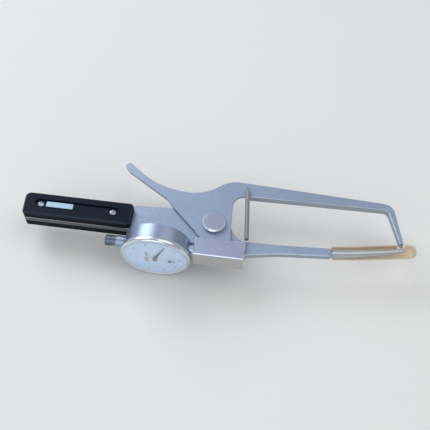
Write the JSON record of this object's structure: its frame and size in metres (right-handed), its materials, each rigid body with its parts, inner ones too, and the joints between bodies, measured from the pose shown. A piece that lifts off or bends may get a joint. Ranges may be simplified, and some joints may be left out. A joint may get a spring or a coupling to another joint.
{
  "type": "dial caliper gauge",
  "caption": "External dial caliper gauge: a trigger lever swings a long upper jaw over a fixed rod jaw and moves a dial indicator's plunger; black two-scale grip.",
  "frame": {"origin": "centre of the measuring block's back face", "axes": "+X along the plunger towards the jaw tips, +Y towards the trigger and upper jaw, +Z out of the front of the frame plate"},
  "size_m": [0.3254, 0.0939, 0.057],
  "materials": {
    "painted_casting": "hammertone",
    "grip_black": "fine moulded grain",
    "label_silver": "satin",
    "bright_steel": "polished",
    "turned_steel": "turned face",
    "satin_steel": "satin",
    "spring_steel": "drawn wire",
    "dial_white": "printed face",
    "crystal_clear": "clear",
    "hand_black": "matt",
    "brass_turned": "turned",
    "bronze_bush": "bored",
    "vinyl_tan": "soft clear vinyl"
  },
  "bodies": {
    "frame": {"frame_casting": "painted_casting", "block_cover": "painted_casting", "stem_clamp_screw": "bright_steel", "front_grip_scale": "grip_black", "rear_grip_scale": "grip_black", "grip_screws": "bright_steel", "grip_nuts": "bright_steel", "label_plate": "label_silver", "pivot_pin": "satin_steel", "pivot_washer": "bright_steel", "pivot_nut": "bright_steel", "pivot_cap": "turned_steel", "fixed_rod": "satin_steel", "fixed_contact": "satin_steel", "tip_sleeve": "vinyl_tan", "indicator_case": "satin_steel", "case_back_cover": "satin_steel", "back_cover_screws": "bright_steel", "stem": "bright_steel", "upper_bush": "bright_steel", "spindle_cap": "bright_steel", "inner_dial": "dial_white", "bridge_plate": "brass_turned", "bridge_pillars": "brass_turned", "hairspring_stud": "brass_turned", "arbor_cock": "brass_turned"},
    "lever": {"lever": "painted_casting", "lever_bush": "bronze_bush", "upper_contact": "satin_steel", "tail_pin": "satin_steel", "tail_roller": "satin_steel", "return_spring": "spring_steel"},
    "plunger": {"spindle": "satin_steel", "contact_point": "satin_steel"},
    "counter_arbor": {"rack_pinion": "satin_steel", "pinion_wheel": "brass_turned", "counter_hand": "hand_black"},
    "centre_arbor": {"centre_pinion": "satin_steel", "main_hand": "hand_black", "hand_boss": "brass_turned"},
    "take_up_arbor": {"take_up_arbor": "satin_steel", "take_up_wheel": "brass_turned", "hairspring": "spring_steel"},
    "bezel": {"bezel": "bright_steel", "crystal": "crystal_clear", "graduated_ring": "dial_white"}
  },
  "joints": [
    {"name": "jaw_pivot", "type": "hinge", "parent": "frame", "child": "lever", "pos_m": [-0.00735, 0.0254, 0.0096], "axis": [0, 0, 1], "range_deg": [0, 18.88], "stiffness_Nm_per_rad": 0.37, "springref_deg": -35.52, "deforming": ["return_spring"]},
    {"name": "plunger_slide", "type": "slide", "parent": "frame", "child": "plunger", "axis": [1, 0, 0], "range_m": [0, 0.00823]},
    {"name": "counter_spin", "type": "hinge", "parent": "frame", "child": "counter_arbor", "pos_m": [-0.03825, 0.00017, 0.0048], "axis": [0, 0.9986, 0.0523], "range_deg": [0, 300.5]},
    {"name": "centre_spin", "type": "hinge", "parent": "frame", "child": "centre_arbor", "pos_m": [-0.05005, 0, 0.008], "axis": [0, -0.9986, -0.0523], "range_deg": [0, 3601]},
    {"name": "take_up_spin", "type": "hinge", "parent": "frame", "child": "take_up_arbor", "pos_m": [-0.05613, -0.00056, 0.01859], "axis": [0, 0.9986, 0.0523], "range_deg": [0, 300.5]},
    {"name": "bezel_turn", "type": "hinge", "parent": "frame", "child": "bezel", "pos_m": [-0.05005, 0, 0.008], "axis": [0, -0.9986, -0.0523], "continuous": true}
  ],
  "couplings": [
    {"joint": "plunger_slide", "follows": "jaw_pivot", "m_per_rad": 0.024943},
    {"joint": "counter_spin", "follows": "jaw_pivot", "ratio": 15.887},
    {"joint": "take_up_spin", "follows": "jaw_pivot", "ratio": 15.887},
    {"joint": "centre_spin", "follows": "jaw_pivot", "ratio": 190.65}
  ]
}
